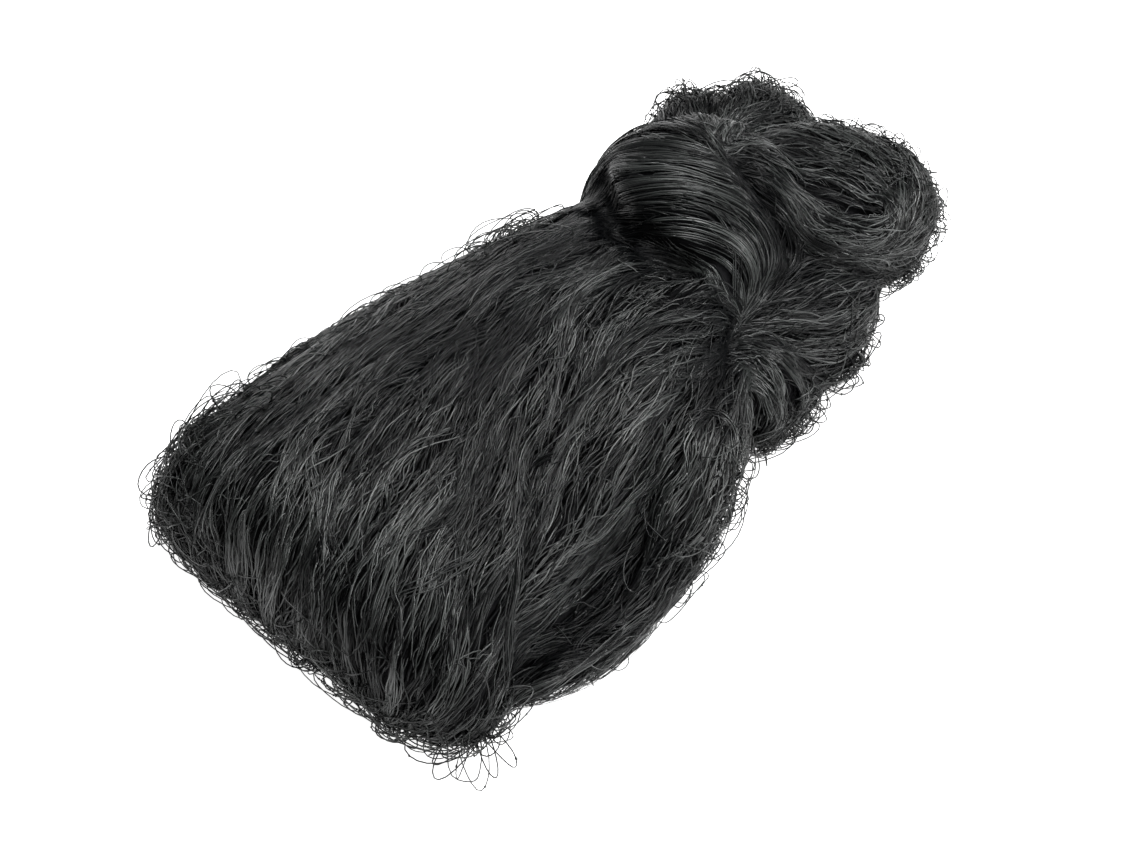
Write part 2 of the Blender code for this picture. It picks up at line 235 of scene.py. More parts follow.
def unit(vectors):
    """Vectors in the last axis, made one long."""
    return vectors / np.maximum(np.linalg.norm(vectors, axis=-1, keepdims=True), TINY)


def flat_to(normals, vectors):
    """Vectors with their part along the normals taken away."""
    return vectors - normals * (vectors * normals).sum(-1, keepdims=True)


def turned(vectors, normals, angles):
    """Vectors turned about the normals."""
    angles = angles[..., None]
    return vectors * np.cos(angles) + np.cross(normals, vectors) * np.sin(angles)


def ripple(places, size, seed):
    """A smooth random value from about -1 to 1 at each place, which changes over about size metres."""
    rng = np.random.default_rng(seed)
    waves = unit(rng.normal(size=(RIPPLE_WAVES, 3))) * rng.uniform(*RIPPLE_RATES, (RIPPLE_WAVES, 1))
    waves *= 2 * math.pi / (size * RIPPLE_STRETCH)
    phases = rng.uniform(0, 2 * math.pi, RIPPLE_WAVES)
    return np.sin(places @ waves.T + phases).sum(-1) / math.sqrt(RIPPLE_WAVES)


class Skin:
    """The core's surface, which way the strands run over it, how loose they are there, and how pale the
    painted shade and painted light make them there.
    """

    def __init__(self, mesh):
        self.points = read(mesh.vertices, "co", 3)
        self.normals = unit(read(mesh.vertices, "normal", 3))
        self.edges = read(mesh.edges, "vertices", 2, int)
        mesh.calc_loop_triangles()
        self.faces = read(mesh.loop_triangles, "vertices", 3, int)
        self.tree = BVHTree.FromPolygons(self.points.tolist(), self.faces.tolist())
        self.headings = np.zeros_like(self.points)
        self.looseness = np.zeros(len(self.points))
        # Painted shade and painted light on the strands, as a share of their tone; 1 is none.
        self.light = np.ones(len(self.points))

    def snap(self, places):
        """The nearest spots of the skin, and the normal, heading and looseness there."""
        hits = [self.tree.find_nearest(place) for place in places.tolist()]
        spots = np.array([hit[0] for hit in hits])
        corners = self.faces[[hit[2] for hit in hits]]
        near = 1 / (np.linalg.norm(self.points[corners] - spots[:, None], axis=2) + NEAR_LIMIT)
        near /= near.sum(1, keepdims=True)
        normals = unit((self.normals[corners] * near[..., None]).sum(1))
        lines = self.headings[corners]
        lines = lines * np.sign((lines * lines[:, :1]).sum(2, keepdims=True))
        headings = unit(flat_to(normals, (lines * near[..., None]).sum(1)))
        return spots, normals, headings, (self.looseness[corners] * near).sum(1)

    def painted_light_at(self, places):
        """The painted shade and painted light on the strands next to each place: how pale they are, as a
        share of what they are outside the valleys.
        """
        faces = [self.tree.find_nearest(place)[2] for place in places.reshape(-1, 3).tolist()]
        return self.light[self.faces[faces]].mean(1).reshape(places.shape[:-1])

    def cast(self, across, down):
        """The spot of the skin that the view shows at a pixel, or the nearest one to that line of sight."""
        place, turn = view_frame()
        scale = SENSOR / LENS / VIEW_WIDTH
        sight = turn @ Vector(((across - VIEW_WIDTH / 2) * scale, (VIEW_HEIGHT / 2 - down) * scale, -1))
        spot = self.tree.ray_cast(place, sight)[0]
        if spot is None:
            sight = np.array(sight.normalized())
            beside = np.linalg.norm(np.cross(self.points - np.array(place), sight), axis=1)
            spot = self.points[beside.argmin()]
        return np.array(spot)


def read(items, name, width, kind=float):
    """An attribute of mesh elements as an array."""
    values = np.zeros(len(items) * width, np.float32 if kind is float else np.int32)
    items.foreach_get(name, values)
    return values.reshape(-1, width).astype(kind)


def resample(points, spacing):
    """Points an even spacing apart along the broken line through the given points."""
    points = np.array(points, float)
    reached = np.concatenate([[0.0], np.cumsum(np.linalg.norm(np.diff(points, axis=0), axis=1))])
    even = np.linspace(0, reached[-1], max(int(reached[-1] / spacing), 2) + 1)
    return np.stack([np.interp(even, reached, points[:, k]) for k in range(3)], axis=1)


def sink_valleys_and_paint_shading(mesh, skin):
    """Sinks the mesh along the valleys, and returns the sunken mesh's skin, with the valleys' painted shade
    and painted light as its light.
    """
    depth = np.zeros(len(skin.points))
    dark = np.zeros(len(skin.points))
    for valley in VALLEYS_AND_PAINTED_SHADING:
        route = skin.snap(resample([skin.cast(*pair) for pair in valley.places], STROKE_SPACING))[0]
        away = np.min([np.linalg.norm(skin.points - place, axis=1) for place in route], axis=0)
        near = np.exp(-(away / (valley.width_mm * MM)) ** 2)
        depth = np.maximum(depth, valley.depth_mm * MM * near)
        # Painted shade from each valley's dark, and painted light where dark is below zero.
        dark += valley.dark * near
    points = skin.points - skin.normals * depth[:, None]
    mesh.vertices.foreach_set("co", points.astype(np.float32).ravel())
    mesh.update()
    sunken = Skin(mesh)
    sunken.light = np.clip(1 - dark, *PAINTED_LIGHT_RANGE)
    return sunken


def guide_points(skin):
    """Places along all strokes, with the strands' heading and looseness at each."""
    places, headings, looseness = [], [], []
    routes = [(stroke, [skin.cast(*pair) for pair in stroke.places]) for stroke in VIEW_STROKES]
    routes += [(stroke, [np.array(place) * MM for place in stroke.places]) for stroke in HIDDEN_STROKES]
    for stroke, corners in routes:
        route = skin.snap(resample(corners, STROKE_SPACING))[0]
        for _ in range(SMOOTH_ROUNDS):
            route[1:-1] = (route[:-2] + 2 * route[1:-1] + route[2:]) / 4
        spots, normals = skin.snap(route)[:2]
        ahead = unit(flat_to(normals, np.gradient(spots, axis=0)))
        spot, normal, heading = spots[-1:], normals[-1:], ahead[-1:]
        for _ in range(int(stroke.run_on * MM / STROKE_SPACING)):
            spot, normal = skin.snap(spot + heading * STROKE_SPACING)[:2]
            heading = unit(flat_to(normal, heading))
            spots = np.concatenate([spots, spot])
            ahead = np.concatenate([ahead, heading])
        places.append(spots)
        headings.append(ahead)
        looseness.append(np.full(len(spots), stroke.loose))
    return np.concatenate(places), np.concatenate(headings), np.concatenate(looseness)


def comb(skin):
    """Spreads the strokes' headings over the whole skin, less readily across the creases between bundles.

    A heading and its opposite are the same to the strands, so neighbours are turned to agree before they are
    added.
    """
    places, headings, looseness = guide_points(skin)
    tree = KDTree(len(places))
    for i, place in enumerate(places.tolist()):
        tree.insert(place, i)
    tree.balance()
    found = [tree.find(point) for point in skin.points.tolist()]
    nearest = np.array([hit[1] for hit in found])
    away = np.array([hit[2] for hit in found])
    field = unit(flat_to(skin.normals, headings[nearest]))
    wanted = field.copy()
    skin.looseness = looseness[nearest]
    hold = FIELD_HOLD * np.exp(-(away / STROKE_SPACING) ** 2)[:, None]
    a, b = skin.edges.T
    along = unit(skin.points[b] - skin.points[a])
    bend = ((skin.normals[b] - skin.normals[a]) * along).sum(1)
    ease = np.exp(np.minimum(bend, 0) * CREASE_BARRIER) + LEAST_EASE
    for _ in range(FIELD_ROUNDS):
        agree = np.sign((field[a] * field[b]).sum(1))
        side = np.sign((wanted * field).sum(1))[:, None]
        drawn = around(field, a, b, ease * agree)
        field = unit(flat_to(skin.normals, wanted * side * hold + field * FIELD_INERTIA + drawn))
    skin.headings = field
    weight = around(np.ones((len(field), 1)), a, b, ease)[:, 0]
    for _ in range(LOOSENESS_ROUNDS):
        skin.looseness = around(skin.looseness[:, None], a, b, ease)[:, 0] / weight


def around(values, a, b, ease):
    """The sum of each point's neighbours' values, over the edges from a to b, times each edge's ease."""
    total = np.zeros_like(values)
    for k in range(values.shape[1]):
        total[:, k] = np.bincount(a, values[b, k] * ease, len(values))
        total[:, k] += np.bincount(b, values[a, k] * ease, len(values))
    return total


LEAST_AGREEMENT = 0.3  # a walker stops where the strands turn away from it more than this cosine allows
TURN_BACK = 0.2  # how soon a walker's own turn swings back, in radians a step
TAUT_TURN = 0.15  # how much of its own turn a walker keeps where the strands are pulled smooth
CARRY_ON, FOLLOW_ON = 0.55, 0.45  # how much a walker keeps its heading, and how much it takes the strands'
SWAY_SIZE = 34 * MM

# Lines over the skin: their places, normals and looseness, one row a line, and how many of each row hold.
Lines = namedtuple("Lines", "places normals slack count")


def walk(skin, starts, way, steps, stride, own_turn, sway, seed):
    """The lines that walkers take over the skin, with the strands (way 1) or against them (way -1).

    own_turn is each walker's angle off the strands' heading, and sway how far a ripple turns it as well.
    """
    spots, normals, wanted, slack = skin.snap(starts)
    own_turn = own_turn * (TAUT_TURN + (1 - TAUT_TURN) * slack)
    headings = wanted * way[:, None]
    places, over, slacks = [spots], [normals], [slack]
    alive = np.ones(len(spots), bool)
    count = np.ones(len(spots), int)
    for step in range(steps):
        spots, normals, wanted, slack = skin.snap(spots + headings * stride[:, None])
        carried = unit(flat_to(normals, headings))
        wanted *= np.sign((carried * wanted).sum(1))[:, None]
        alive &= (carried * wanted).sum(1) > LEAST_AGREEMENT
        angle = own_turn * math.cos(step * TURN_BACK)
        angle += sway * ripple(spots, SWAY_SIZE, seed) * np.minimum(slack, 1)
        headings = unit(carried * CARRY_ON + turned(wanted, normals, angle) * FOLLOW_ON)
        places.append(spots)
        over.append(normals)
        slacks.append(slack)
        count += alive
    return Lines(np.stack(places, 1), np.stack(over, 1), np.stack(slacks, 1), count)


def scatter(skin, count, weight, rng):
    """Random spots of the skin, spread by area times the weight of each point."""
    corners = skin.points[skin.faces]
    area = np.linalg.norm(np.cross(corners[:, 1] - corners[:, 0], corners[:, 2] - corners[:, 0]), axis=1)
    odds = area * weight[skin.faces].mean(1)
    chosen = rng.choice(len(odds), count, p=odds / odds.sum())
    share = rng.dirichlet((1, 1, 1), count)
    return (corners[chosen] * share[..., None]).sum(1)


# Strands are arrays with one row a strand: its places, normals and tone along it, how many of them it has,
# and its radius.
Strands = namedtuple("Strands", "places normals count radius tone")
SHORTEST_STRAND = 4
TIP_SHARE = 0.3  # of a strand's radius, at both its tips
TUBE = (90, 210, 330)
RIBBON = (0, 180)
ROUNDING = 0.8  # how far a ribbon's edges are shaded as if they turned away, so that it looks round


def add_strands(name, strands, section, material):
    """Adds one mesh of strands, as closed three-sided tubes or flat ribbons, with their tones."""
    keep = strands.count >= SHORTEST_STRAND
    places, normals, count, radius, tone = (values[keep] for values in strands)
    sides = len(section)
    order = np.arange(places.shape[1])[None, :]
    last = count[:, None] - 1
    valid = order <= last
    rows = np.arange(len(count))[:, None]
    ahead = unit(places[rows, np.minimum(order + 1, last)] - places[rows, np.clip(order - 1, 0, last)])
    side = unit(np.cross(ahead, normals))
    up = np.cross(side, ahead)
    taper = np.where((order == 0) | (order == last), TIP_SHARE, 1.0) * radius[:, None]
    rings, shading = [], []
    for degrees in section:
        angle = math.radians(degrees)
        outward = side * math.cos(angle) + up * math.sin(angle)
        rings.append(places + outward * taper[..., None])
        shading.append(unit(outward * ROUNDING + up * (1 - ROUNDING / 2)))
    points = np.stack(rings, 2)[valid].reshape(-1, 3)
    starts = np.concatenate([[0], np.cumsum(count)[:-1]])
    here = (starts[:, None] + order)[valid & (order < last)] * sides
    quads = []
    for k in range(sides if section == TUBE else 1):
        n = (k + 1) % sides
        quads.append(np.stack([here + k, here + sides + k, here + sides + n, here + n], 1))
    caps = np.zeros((0, 3), int)
    if section == TUBE:
        first = starts * sides
        final = (starts + count - 1) * sides
        caps = np.concatenate([
            np.stack([first, first + 1, first + 2], 1),
            np.stack([final + 2, final + 1, final], 1),
        ])
    mesh = mesh_from(name, points, np.concatenate(quads), caps)
    if section == RIBBON:
        mesh.normals_split_custom_set_from_vertices(np.stack(shading, 2)[valid].reshape(-1, 3))
    set_tones(mesh, np.repeat(tone[valid], sides))
    add_piece(name, mesh, material)


def set_tones(mesh, values):
    """Puts a tone on each point of the mesh, which the twine's material reads."""
    tones = mesh.attributes.new("tone", "FLOAT", "POINT")
    tones.data.foreach_set("value", values.astype(np.float32))


def mesh_from(name, points, quads, triangles):
    """A smooth-shaded mesh from arrays of points, four-sided faces and three-sided faces."""
    mesh = bpy.data.meshes.new(name)
    corners = np.concatenate([quads.ravel(), triangles.ravel()]).astype(np.int32)
    sizes = np.concatenate([np.full(len(quads), 4), np.full(len(triangles), 3)])
    begins = np.concatenate([[0], np.cumsum(sizes)[:-1]]).astype(np.int32)
    mesh.vertices.add(len(points))
    mesh.vertices.foreach_set("co", points.astype(np.float32).ravel())
    mesh.loops.add(len(corners))
    mesh.loops.foreach_set("vertex_index", corners)
    mesh.polygons.add(len(sizes))
    mesh.polygons.foreach_set("loop_start", begins)
    mesh.update(calc_edges=True)
    mesh.validate()
    mesh.shade_smooth()
    return mesh


def add_piece(name, mesh, material):
    """A piece of the net that rides on the hank's one body and stands for its solid."""
    piece = bpy.data.objects.new(name, mesh)
    bpy.context.scene.collection.objects.link(piece)
    mesh.materials.clear()
    mesh.materials.append(material)
    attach(piece, "root")
    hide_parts("net_hank")


# The strands lie in layers of locks. A layer has so many locks, which follow walks over the skin of so many
# steps and mm a step. turn is how far a lock turns off the strands' heading, and sway how far a ripple turns
# it. A lock is so wide, rises in its middle, and its strands lie from low to high over the skin, lean across
# it and stray from their places in it. tone is how pale the strands are, from 0 to 1.
Layer = namedtuple(
    "Layer",
    "locks strands points steps stride_mm turn sway width_mm rise_mm low_mm high_mm lean stray_mm radius_mm"
    " tone_low tone_high",
)
# The deep layer's dark tones are painted shade, for strands that lie under the layers above.
DEEP_LAYER = Layer(
    locks=1060, strands=6, points=14, steps=22, stride_mm=5, turn=0.1, sway=0.15, width_mm=16,
    rise_mm=0.4, low_mm=-0.9, high_mm=0.2, lean=0.3, stray_mm=0.8, radius_mm=0.5,
    tone_low=0.0, tone_high=0.3,
)
TOP_LAYER = Layer(
    locks=1350, strands=8, points=20, steps=24, stride_mm=4.4, turn=0.26, sway=0.26, width_mm=10,
    rise_mm=1.6, low_mm=0.2, high_mm=1.8, lean=0.9, stray_mm=1.8, radius_mm=0.36,
    tone_low=0.05, tone_high=1.0,
)
LOOSE_LAYER = Layer(
    locks=1000, strands=1, points=16, steps=18, stride_mm=4.6, turn=0.34, sway=0.3, width_mm=0,
    rise_mm=0.6, low_mm=1.0, high_mm=2.8, lean=0, stray_mm=2.0, radius_mm=0.36,
    tone_low=0.3, tone_high=1.0,
)
CURL_LAYER = Layer(
    locks=800, strands=1, points=10, steps=9, stride_mm=4.0, turn=0.9, sway=0.4, width_mm=0,
    rise_mm=0.5, low_mm=1.4, high_mm=3.2, lean=0, stray_mm=1.2, radius_mm=0.36,
    tone_low=0.4, tone_high=1.0,
)
# The wisps have routes and numbers of strands of their own, so nothing is said about those here.
WISP_LAYER = Layer(
    locks=None, strands=None, points=24, steps=None, stride_mm=None, turn=None, sway=None, width_mm=9,
    rise_mm=1.2, low_mm=1.4, high_mm=2.8, lean=0.7, stray_mm=1.2, radius_mm=0.37,
    tone_low=0.15, tone_high=1.0,
)
SHORTEST_LOCK = 5
STRIDE_RANGE = (0.75, 1.2)
KNOT_START, KNOT_WEIGHT = 0.03, 1.45  # beyond this x the bunches are small, so there are more locks
UNDERSIDE_START, UNDERSIDE_SPAN, UNDERSIDE_BARE = 0.3, 0.7, 0.85

BEGIN_WITHIN, END_BEYOND = 0.3, 0.7  # a strand starts and ends between these shares of its lock's length
END_SHARE = 0.14  # the share of a strand's length, at both its ends, over which it dives in
# How pale a strand is at its tips, where it dives into the bundle: painted shade.
END_PAINTED_SHADE = 0.35
END_DEPTH = 2.8 * MM
SLOT_SPREAD = 0.45
WAVES = (0.6, 1.3, 2.2, 4.1)  # how many times a strand sways to and fro along its length
TAUT_HEIGHT, TOP_HEIGHT = 0.25, 1.1  # the shares of its height that a strand has where it is smooth or loose
RISE_AND_FALL_MM, RISE_AND_FALL_TURN = 0.35, 9
RADIUS_RANGE = (0.85, 1.15)
TONE_MIDDLE, TONE_RIPPLE, TONE_PATCH = 0.48, 0.16, 60 * MM
LOCK_TONE_SPREAD, STRAND_TONE_SPREAD = 0.15, 0.28
PALE_RARITY = 1.6

# Wisps are locks that lie on top, each along a route of its own: how many strands, and the route's places.
Wisp = namedtuple("Wisp", "count places")
WISPS = (
    Wisp(16, ((528, 436), (515, 520), (508, 600), (503, 670), (492, 730))),
    Wisp(18, ((640, 268), (604, 276), (576, 300), (562, 340), (552, 400), (536, 480))),
    Wisp(16, ((730, 357), (752, 352), (776, 358), (793, 378), (801, 402), (790, 424))),
    Wisp(12, ((700, 430), (660, 480), (610, 520), (560, 560), (520, 610))),
    Wisp(12, ((650, 540), (604, 570), (556, 600), (522, 640))),
    Wisp(16, ((762, 166), (766, 184), (784, 206), (800, 230), (814, 244), (840, 252), (872, 252),
              (902, 242))),
    Wisp(14, ((716, 142), (704, 122), (690, 108), (680, 96))),
    Wisp(14, ((716, 138), (734, 128), (762, 121), (796, 116))),
    Wisp(14, ((606, 158), (622, 150), (650, 144), (684, 148), (712, 157), (736, 166))),
    Wisp(10, ((352, 612), (420, 590), (470, 560), (520, 500))),
    Wisp(16, ((676, 476), (666, 506), (656, 540), (646, 570), (632, 594))),
    Wisp(16, ((680, 452), (688, 428), (702, 414), (718, 416), (730, 434), (732, 460), (722, 484))),
    Wisp(10, ((522, 494), (530, 470), (554, 458), (576, 466), (582, 486), (562, 508))),
    Wisp(16, ((518, 688), (556, 674), (604, 624), (636, 590), (660, 560))),
    Wisp(12, ((700, 150), (716, 136), (742, 124), (772, 120))),
)
WISP_STEPS = 24


def top_weight(skin):
    """How thickly each point of the skin is covered: little where the hank rests, more round the knot."""
    facing_down = np.clip(-skin.normals[:, 2] - UNDERSIDE_START, 0, UNDERSIDE_SPAN) / UNDERSIDE_SPAN
    near_knot = np.where(skin.points[:, 0] > KNOT_START, KNOT_WEIGHT, 1)
    return (1 - UNDERSIDE_BARE * facing_down) * near_knot


def lay_locks(skin, layer, rng, seed):
    """The strands of one layer, in locks that walk over the skin."""
    starts = scatter(skin, layer.locks, top_weight(skin), rng)
    way = rng.choice((-1.0, 1.0), layer.locks)
    stride = layer.stride_mm * MM * rng.uniform(*STRIDE_RANGE, layer.locks)
    turn = rng.normal(0, layer.turn, layer.locks)
    lines = walk(skin, starts, way, layer.steps, stride, turn, layer.sway, seed)
    lock = np.repeat(np.flatnonzero(lines.count >= min(SHORTEST_LOCK, layer.steps)), layer.strands)
    return fan_out(skin, lines, lock, layer, rng)


def lay_wisps(skin, rng):
    """The strands of the wisps, which follow their own routes."""
    routes = []
    for wisp in WISPS:
        route = resample([skin.cast(*pair) for pair in wisp.places], STROKE_SPACING)
        length = np.linalg.norm(np.diff(route, axis=0), axis=1).sum()
        # Half a step more than WISP_STEPS, so that resample rounds down to exactly that many.
        routes.append(resample(route, length / (WISP_STEPS + 0.5)))
    spots, normals, _, slack = skin.snap(np.concatenate(routes))
    shape = (len(WISPS), WISP_STEPS + 1)
    count = np.full(len(WISPS), WISP_STEPS + 1)
    lines = Lines(spots.reshape(*shape, 3), normals.reshape(*shape, 3), slack.reshape(shape), count)
    lock = np.repeat(np.arange(len(WISPS)), [wisp.count for wisp in WISPS])
    return fan_out(skin, lines, lock, WISP_LAYER, rng)


def follow(values, lock, at):
    """Each strand's values along its lock, at places between the lock's steps."""
    low = np.minimum(at.astype(int), values.shape[1] - 2)
    share = at - low
    if values.ndim == 3:
        share = share[..., None]
    return values[lock[:, None], low] * (1 - share) + values[lock[:, None], low + 1] * share


def evened(values):
    """Values along the second axis, smoothed."""
    values = values.copy()
    for _ in range(SMOOTH_ROUNDS):
        values[:, 1:-1] = (values[:, :-2] + 2 * values[:, 1:-1] + values[:, 2:]) / 4
    return values


def fan_out(skin, lines, lock, layer, rng):
    """Strands that follow their locks' lines, each at its own place across, and dive in at both ends."""
    total = len(lock)
    reach = lines.count[lock] - 1.0
    share = np.linspace(0, 1, layer.points)[None, :]
    begin = reach * rng.uniform(0, BEGIN_WITHIN, total)
    end = reach * rng.uniform(END_BEYOND, 1, total)
    at = begin[:, None] + (end - begin)[:, None] * share
    spots = follow(evened(lines.places), lock, at)
    normals = unit(follow(evened(lines.normals), lock, at))
    slack = follow(evened(lines.slack), lock, at)
    across = np.cross(normals, unit(np.gradient(spots, axis=1)))
    fan = 0.5 + 0.5 * np.sin(math.pi * at / reach[:, None])
    slot = np.clip(rng.normal(0, SLOT_SPREAD, (total, 1)), -1, 1)
    lean = rng.normal(0, layer.lean, (total, 1)) * (share - 0.5)
    aside = (slot + lean * slack) * fan * layer.width_mm / 2
    for waves in WAVES:
        phase = rng.uniform(0, 2 * math.pi, (total, 1))
        size = rng.normal(0, layer.stray_mm / (1 + waves), (total, 1))
        aside += size * np.sin(phase + share * waves * math.pi * 2) * slack
    inner = np.clip(np.minimum(share, 1 - share) / END_SHARE, 0, 1)
    inner = inner * inner * (3 - 2 * inner)
    rise = layer.rise_mm * (1 - slot**2) * fan
    height = rise + rng.uniform(layer.low_mm, layer.high_mm, (total, 1))
    height = height * np.clip(TAUT_HEIGHT + (1 - TAUT_HEIGHT) * slack, 0, TOP_HEIGHT)
    phase = rng.uniform(0, 2 * math.pi, (total, 1))
    height += RISE_AND_FALL_MM * np.sin(phase + share * RISE_AND_FALL_TURN) * slack
    height = height * MM * inner - END_DEPTH * (1 - inner)
    places = spots + across * (aside * MM)[..., None] + normals * height[..., None]
    places[..., 2] = np.maximum(places[..., 2], GROUND_GAP)
    radius = layer.radius_mm * MM * rng.uniform(*RADIUS_RANGE, total)
    patch = TONE_MIDDLE + TONE_RIPPLE * ripple(lines.places[:, 0], TONE_PATCH, TONE_SEED)
    patch += rng.normal(0, LOCK_TONE_SPREAD, len(lines.count))
    pale = np.clip(patch[lock] + rng.normal(0, STRAND_TONE_SPREAD, total), 0, 1) ** PALE_RARITY
    tone = layer.tone_low + (layer.tone_high - layer.tone_low) * pale
    # Painted shade and painted light from the valleys, and painted shade at both ends, where a strand dives
    # in.
    light = follow(evened(skin.painted_light_at(lines.places)), lock, at) * (END_PAINTED_SHADE + (1 - END_PAINTED_SHADE) * inner)
    tone = np.clip(tone[:, None] * light, 0, 1)
    return Strands(places, normals, np.full(total, layer.points), radius, tone)


# Patches of loose mesh bars that stand out as loops: where in the view, over what radius, how many, how far
# they stand out, and how far apart their feet are. Those on the hidden sides have places x, y, z in mm.
LoopPatch = namedtuple("LoopPatch", "place radius_mm count reach_mm feet_mm")
VIEW_LOOPS = (
    LoopPatch((156, 412), 34, 100, 10, 26),
    LoopPatch((166, 404), 34, 60, 13, 34),
    LoopPatch((150, 470), 34, 60, 9, 24),
    LoopPatch((170, 520), 34, 70, 8, 26),
    LoopPatch((240, 600), 36, 80, 8, 28),
    LoopPatch((320, 665), 34, 90, 9, 28),
    LoopPatch((395, 720), 32, 70, 10, 28),
    LoopPatch((455, 745), 26, 40, 13, 28),
    LoopPatch((480, 742), 16, 8, 22, 14),
    LoopPatch((500, 715), 22, 26, 11, 22),
    LoopPatch((230, 335), 40, 70, 8, 26),
    LoopPatch((310, 290), 40, 50, 6, 26),
    LoopPatch((390, 252), 40, 60, 7, 26),
    LoopPatch((500, 210), 30, 60, 12, 30),
    LoopPatch((680, 96), 26, 80, 10, 20),
    LoopPatch((770, 92), 26, 80, 10, 20),
    LoopPatch((840, 122), 26, 60, 8, 14),
    LoopPatch((905, 150), 26, 60, 9, 16),
    LoopPatch((940, 215), 26, 60, 9, 16),
    LoopPatch((905, 285), 26, 60, 10, 18),
    LoopPatch((860, 350), 26, 60, 10, 18),
    LoopPatch((812, 415), 20, 50, 11, 18),
    LoopPatch((757, 456), 16, 50, 8, 18),
    LoopPatch((770, 440), 18, 16, 15, 36),
    LoopPatch((735, 490), 26, 44, 10, 24),
    LoopPatch((690, 560), 26, 40, 9, 24),
    LoopPatch((600, 650), 30, 40, 6, 18),
)
HIDDEN_LOOPS = (
    LoopPatch((-200, 136, 30), 40, 60, 7, 15),
    LoopPatch((-80, 134, 30), 60, 60, 6, 15),
    LoopPatch((30, 112, 30), 40, 40, 6, 15),
    LoopPatch((160, 98, 25), 40, 50, 7, 14),
    LoopPatch((236, 30, 30), 40, 60, 8, 15),
    LoopPatch((246, -50, 30), 36, 50, 8, 15),
)
LOOP_STEPS = 12
LOOP_RADIUS = 0.42 * MM
LOOP_RADIUS_RANGE = (0.8, 1.1)
LOOP_TONES = (0.1, 0.7)
REACH_RANGE = (0.35, 1.35)
FEET_RANGE = (0.4, 1.4)
BULGE_RANGE = (0.1, 0.9)
LOOP_RISE = 1.5  # how much further than a loop's reach its curve's handles lie
LOOP_SPREAD, LOOP_LEAN = 0.35, 0.45
FACING_UP, RISE_SHARE = 0.5, 0.5  # on skin that faces up less than this, loops rise only this share
LEVEL_LIMIT = 0.85  # on skin that faces up more than this, loops stand along the strands, not along the rim
LOOP_TURN = 0.6
FOOT_DEPTH = 2.5 * MM
KINK_SIZE, KINK_TURN = 0.7 * MM, 9
KNOT_SHARE = 0.15
KNOT_MARGIN = 3  # how many of its first and last steps hold no knot


def grow_loops(skin, rng):
    """Loose mesh bars that leave the skin, bend round and go back in, and the places of their knots."""
    roots, reach, feet = [], [], []
    patches = [(patch, skin.cast(*patch.place)) for patch in VIEW_LOOPS]
    patches += [(patch, np.array(patch.place) * MM) for patch in HIDDEN_LOOPS]
    for patch, middle in patches:
        roots.append(middle + rng.normal(0, patch.radius_mm * MM / 2, (patch.count, 3)))
        reach.append(patch.reach_mm * MM * rng.uniform(*REACH_RANGE, patch.count))
        feet.append(patch.feet_mm * MM * rng.uniform(*FEET_RANGE, patch.count))
    roots, normals, headings, _ = skin.snap(np.concatenate(roots))
    reach, feet = np.concatenate(reach), np.concatenate(feet)
    total = len(roots)
    outward = normals + rng.normal(0, LOOP_SPREAD, (total, 3))
    outward[:, 2] = np.where(normals[:, 2] > FACING_UP, outward[:, 2], outward[:, 2] * RISE_SHARE)
    outward = unit(outward)
    level = np.cross(normals, (0.0, 0.0, 1.0))
    level = np.where(np.abs(normals[:, 2:]) > LEVEL_LIMIT, headings, level)
    aside = turned(unit(level), normals, rng.normal(0, LOOP_TURN, total))
    start = skin.snap(roots - aside * feet[:, None] / 2)
    end = skin.snap(roots + aside * feet[:, None] / 2)
    lean = aside * (feet * rng.normal(0, LOOP_LEAN, total))[:, None]
    first = start[0] - start[1] * FOOT_DEPTH
    last = end[0] - end[1] * FOOT_DEPTH
    bulge = aside * (feet * rng.uniform(*BULGE_RANGE, total))[:, None]
    one = first + outward * (reach * LOOP_RISE)[:, None] - bulge + lean
    two = last + outward * (reach * LOOP_RISE)[:, None] + bulge + lean
    t = np.linspace(0, 1, LOOP_STEPS + 1)[None, :, None]
    places = (
        first[:, None] * (1 - t) ** 3
        + one[:, None] * 3 * t * (1 - t) ** 2
        + two[:, None] * 3 * t**2 * (1 - t)
        + last[:, None] * t**3
    )
    places += KINK_SIZE * np.sin(math.pi * t) * rng.normal(size=(total, 1, 3)) * np.sin(t * KINK_TURN)
    places[..., 2] = np.maximum(places[..., 2], GROUND_GAP)
    across = np.repeat(unit(np.cross(aside, outward))[:, None], LOOP_STEPS + 1, axis=1)
    count = np.full(total, LOOP_STEPS + 1)
    radius = LOOP_RADIUS * rng.uniform(*LOOP_RADIUS_RANGE, total)
    tone = np.repeat(rng.uniform(*LOOP_TONES, (total, 1)), LOOP_STEPS + 1, axis=1)
    knotted = rng.random(total) < KNOT_SHARE
    knots = places[np.arange(total), rng.integers(KNOT_MARGIN, LOOP_STEPS + 1 - KNOT_MARGIN, total)][knotted]
    return Strands(places, across, count, radius, tone), knots


KNOT_SIZE = 0.75 * MM
KNOT_SIZE_RANGE = (0.8, 1.25)
KNOT_LUMPS = 0.18
KNOT_TONE = 0.6


